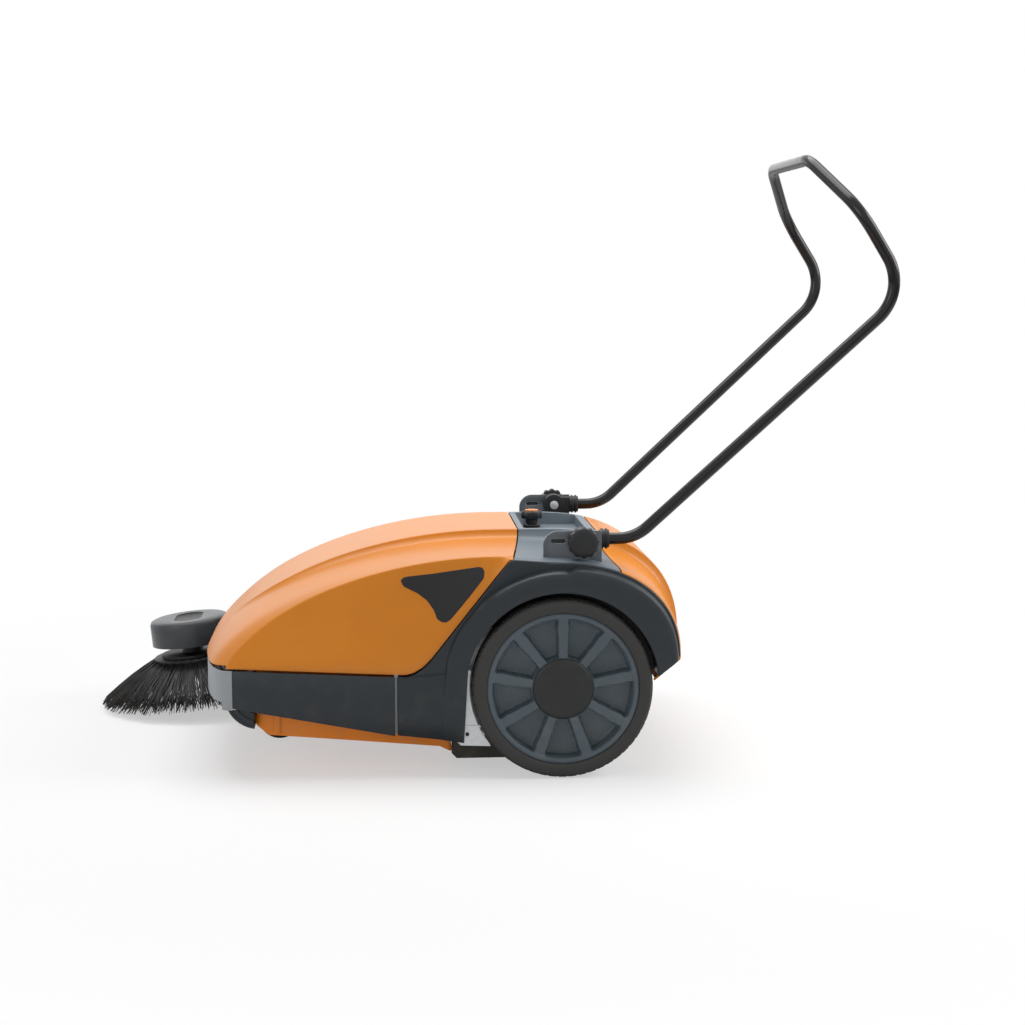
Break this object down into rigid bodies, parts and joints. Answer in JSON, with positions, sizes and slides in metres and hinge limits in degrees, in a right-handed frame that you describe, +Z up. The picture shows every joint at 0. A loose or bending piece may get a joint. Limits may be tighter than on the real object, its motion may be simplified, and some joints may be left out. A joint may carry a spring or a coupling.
{
  "type": "walk-behind sweeper",
  "caption": "Walk-behind push sweeper with hinged hood, hopper, wheel-driven roller brush, belt-driven side brush and folding push handle.",
  "frame": {"origin": "on the floor under the middle of the overall box", "axes": "+X towards the push handle, travel is towards -X; +Y to the side-brush side; +Z up"},
  "size_m": [1.3908, 0.79, 1.0284],
  "materials": {
    "orange_shell": "moulded, fine texture",
    "graphite_panel": "moulded, fine grain",
    "deck_plastic": "moulded, fine grain",
    "zinc_steel": "zinc plated",
    "seal_rubber": "matte",
    "tyre_rubber": "matte",
    "black_plastic": "satin",
    "tube_paint": "gloss powder coat",
    "gear_plastic": "moulded",
    "bristle": "fibre"
  },
  "bodies": {
    "chassis": {"deck": "deck_plastic", "rear_cover": "orange_shell", "fender_left": "graphite_panel", "fender_right": "graphite_panel", "skirt_left": "graphite_panel", "skirt_right": "graphite_panel", "front_bumper": "deck_plastic", "apron": "graphite_panel", "hopper": "orange_shell", "side_plate_left": "zinc_steel", "side_plate_right": "zinc_steel", "frame_rail_left": "zinc_steel", "frame_rail_right": "zinc_steel", "front_crossmember": "zinc_steel", "rear_crossmember": "zinc_steel", "brush_tunnel": "graphite_panel", "side_flap_left": "seal_rubber", "side_flap_right": "seal_rubber", "rear_flap": "seal_rubber", "flap_clamps": "zinc_steel", "stub_axles": "zinc_steel", "brush_bearings": "zinc_steel", "hinge_base": "zinc_steel", "hinge_pins": "zinc_steel", "handle_bracket_left": "zinc_steel", "handle_bracket_right": "zinc_steel", "handle_bolts": "zinc_steel", "arm_bracket": "zinc_steel", "long_belt": "seal_rubber", "chassis_screws": "zinc_steel"},
    "hood": {"hood": "orange_shell", "hinge_leaves": "zinc_steel"},
    "handle": {"handle_tube": "tube_paint", "handle_jaw_left": "black_plastic", "handle_jaw_right": "black_plastic"},
    "clamp_knob_left": {"clamp_knob_left": "black_plastic"},
    "clamp_knob_right": {"clamp_knob_right": "black_plastic"},
    "adjuster": {"adjuster_knob": "black_plastic", "adjuster_cap": "orange_shell"},
    "wheel_left": {"tyre_left": "tyre_rubber", "rim_left": "graphite_panel", "hub_cap_left": "black_plastic", "wheel_gear_left": "gear_plastic"},
    "wheel_right": {"tyre_right": "tyre_rubber", "rim_right": "graphite_panel", "hub_cap_right": "black_plastic", "wheel_gear_right": "gear_plastic"},
    "pinion_left": {"pinion_left": "gear_plastic"},
    "pinion_right": {"pinion_right": "gear_plastic"},
    "roller": {"roller_core": "gear_plastic", "roller_bristles": "bristle"},
    "layshaft": {"layshaft_pulley": "gear_plastic"},
    "brush_arm": {"side_brush_arm": "deck_plastic", "cross_belt": "seal_rubber"},
    "side_brush": {"side_brush_head": "black_plastic", "side_brush_bristles": "bristle"},
    "castor_swivel": {"castor_fork": "zinc_steel", "castor_axle": "zinc_steel"},
    "castor_wheel": {"castor_wheel": "tyre_rubber"}
  },
  "joints": [
    {"name": "hood_hinge", "type": "hinge", "parent": "chassis", "child": "hood", "pos_m": [0.08352, -0.0735, 0.386], "axis": [0, 1, 0], "range_deg": [0, 65]},
    {"name": "handle_fold", "type": "hinge", "parent": "chassis", "child": "handle", "pos_m": [0.17552, -0.0735, 0.388], "axis": [0, 1, 0], "range_deg": [-138, 8]},
    {"name": "clamp_turn_left", "type": "hinge", "parent": "chassis", "child": "clamp_knob_left", "pos_m": [0.17552, -0.3535, 0.388], "axis": [0, 1, 0], "range_deg": [0, 540]},
    {"name": "clamp_turn_right", "type": "hinge", "parent": "chassis", "child": "clamp_knob_right", "pos_m": [0.17552, 0.2065, 0.388], "axis": [0, 1, 0], "range_deg": [-540, 0]},
    {"name": "height_turn", "type": "hinge", "parent": "chassis", "child": "adjuster", "pos_m": [0.11852, -0.0035, 0.38], "axis": [0, 0, 1], "range_deg": [0, 300]},
    {"name": "wheel_spin_left", "type": "hinge", "parent": "chassis", "child": "wheel_left", "pos_m": [0.13952, -0.3635, 0.15], "axis": [0, 1, 0], "continuous": true},
    {"name": "wheel_spin_right", "type": "hinge", "parent": "chassis", "child": "wheel_right", "pos_m": [0.13952, 0.2165, 0.15], "axis": [0, 1, 0], "continuous": true},
    {"name": "pinion_spin_left", "type": "hinge", "parent": "chassis", "child": "pinion_left", "pos_m": [0.06881, -0.3265, 0.125], "axis": [0, 1, 0], "continuous": true},
    {"name": "pinion_spin_right", "type": "hinge", "parent": "chassis", "child": "pinion_right", "pos_m": [0.06881, 0.1795, 0.125], "axis": [0, 1, 0], "continuous": true},
    {"name": "roller_spin", "type": "hinge", "parent": "chassis", "child": "roller", "pos_m": [0.06881, -0.0735, 0.125], "axis": [0, 1, 0], "continuous": true},
    {"name": "layshaft_spin", "type": "hinge", "parent": "chassis", "child": "layshaft", "pos_m": [-0.38848, 0.1915, 0.156], "axis": [0, 1, 0], "continuous": true},
    {"name": "arm_lift", "type": "hinge", "parent": "chassis", "child": "brush_arm", "pos_m": [-0.38848, 0.1915, 0.156], "axis": [0, 1, 0], "range_deg": [0, 12]},
    {"name": "side_brush_spin", "type": "hinge", "parent": "brush_arm", "child": "side_brush", "pos_m": [-0.52748, 0.2105, 0.1715], "axis": [-0.1045, 0, 0.9945], "continuous": true},
    {"name": "castor_swivel_turn", "type": "hinge", "parent": "chassis", "child": "castor_swivel", "pos_m": [-0.36048, -0.0735, 0.1], "axis": [0, 0, 1], "continuous": true},
    {"name": "castor_wheel_spin", "type": "hinge", "parent": "castor_swivel", "child": "castor_wheel", "pos_m": [-0.34048, -0.0735, 0.037], "axis": [0, 1, 0], "continuous": true}
  ],
  "couplings": [
    {"joint": "pinion_spin_left", "follows": "wheel_spin_left", "ratio": -2},
    {"joint": "roller_spin", "follows": "wheel_spin_left", "ratio": -2},
    {"joint": "pinion_spin_right", "follows": "wheel_spin_right", "ratio": -2},
    {"joint": "layshaft_spin", "follows": "wheel_spin_right", "ratio": 4},
    {"joint": "side_brush_spin", "follows": "wheel_spin_right", "ratio": -3.2857}
  ]
}
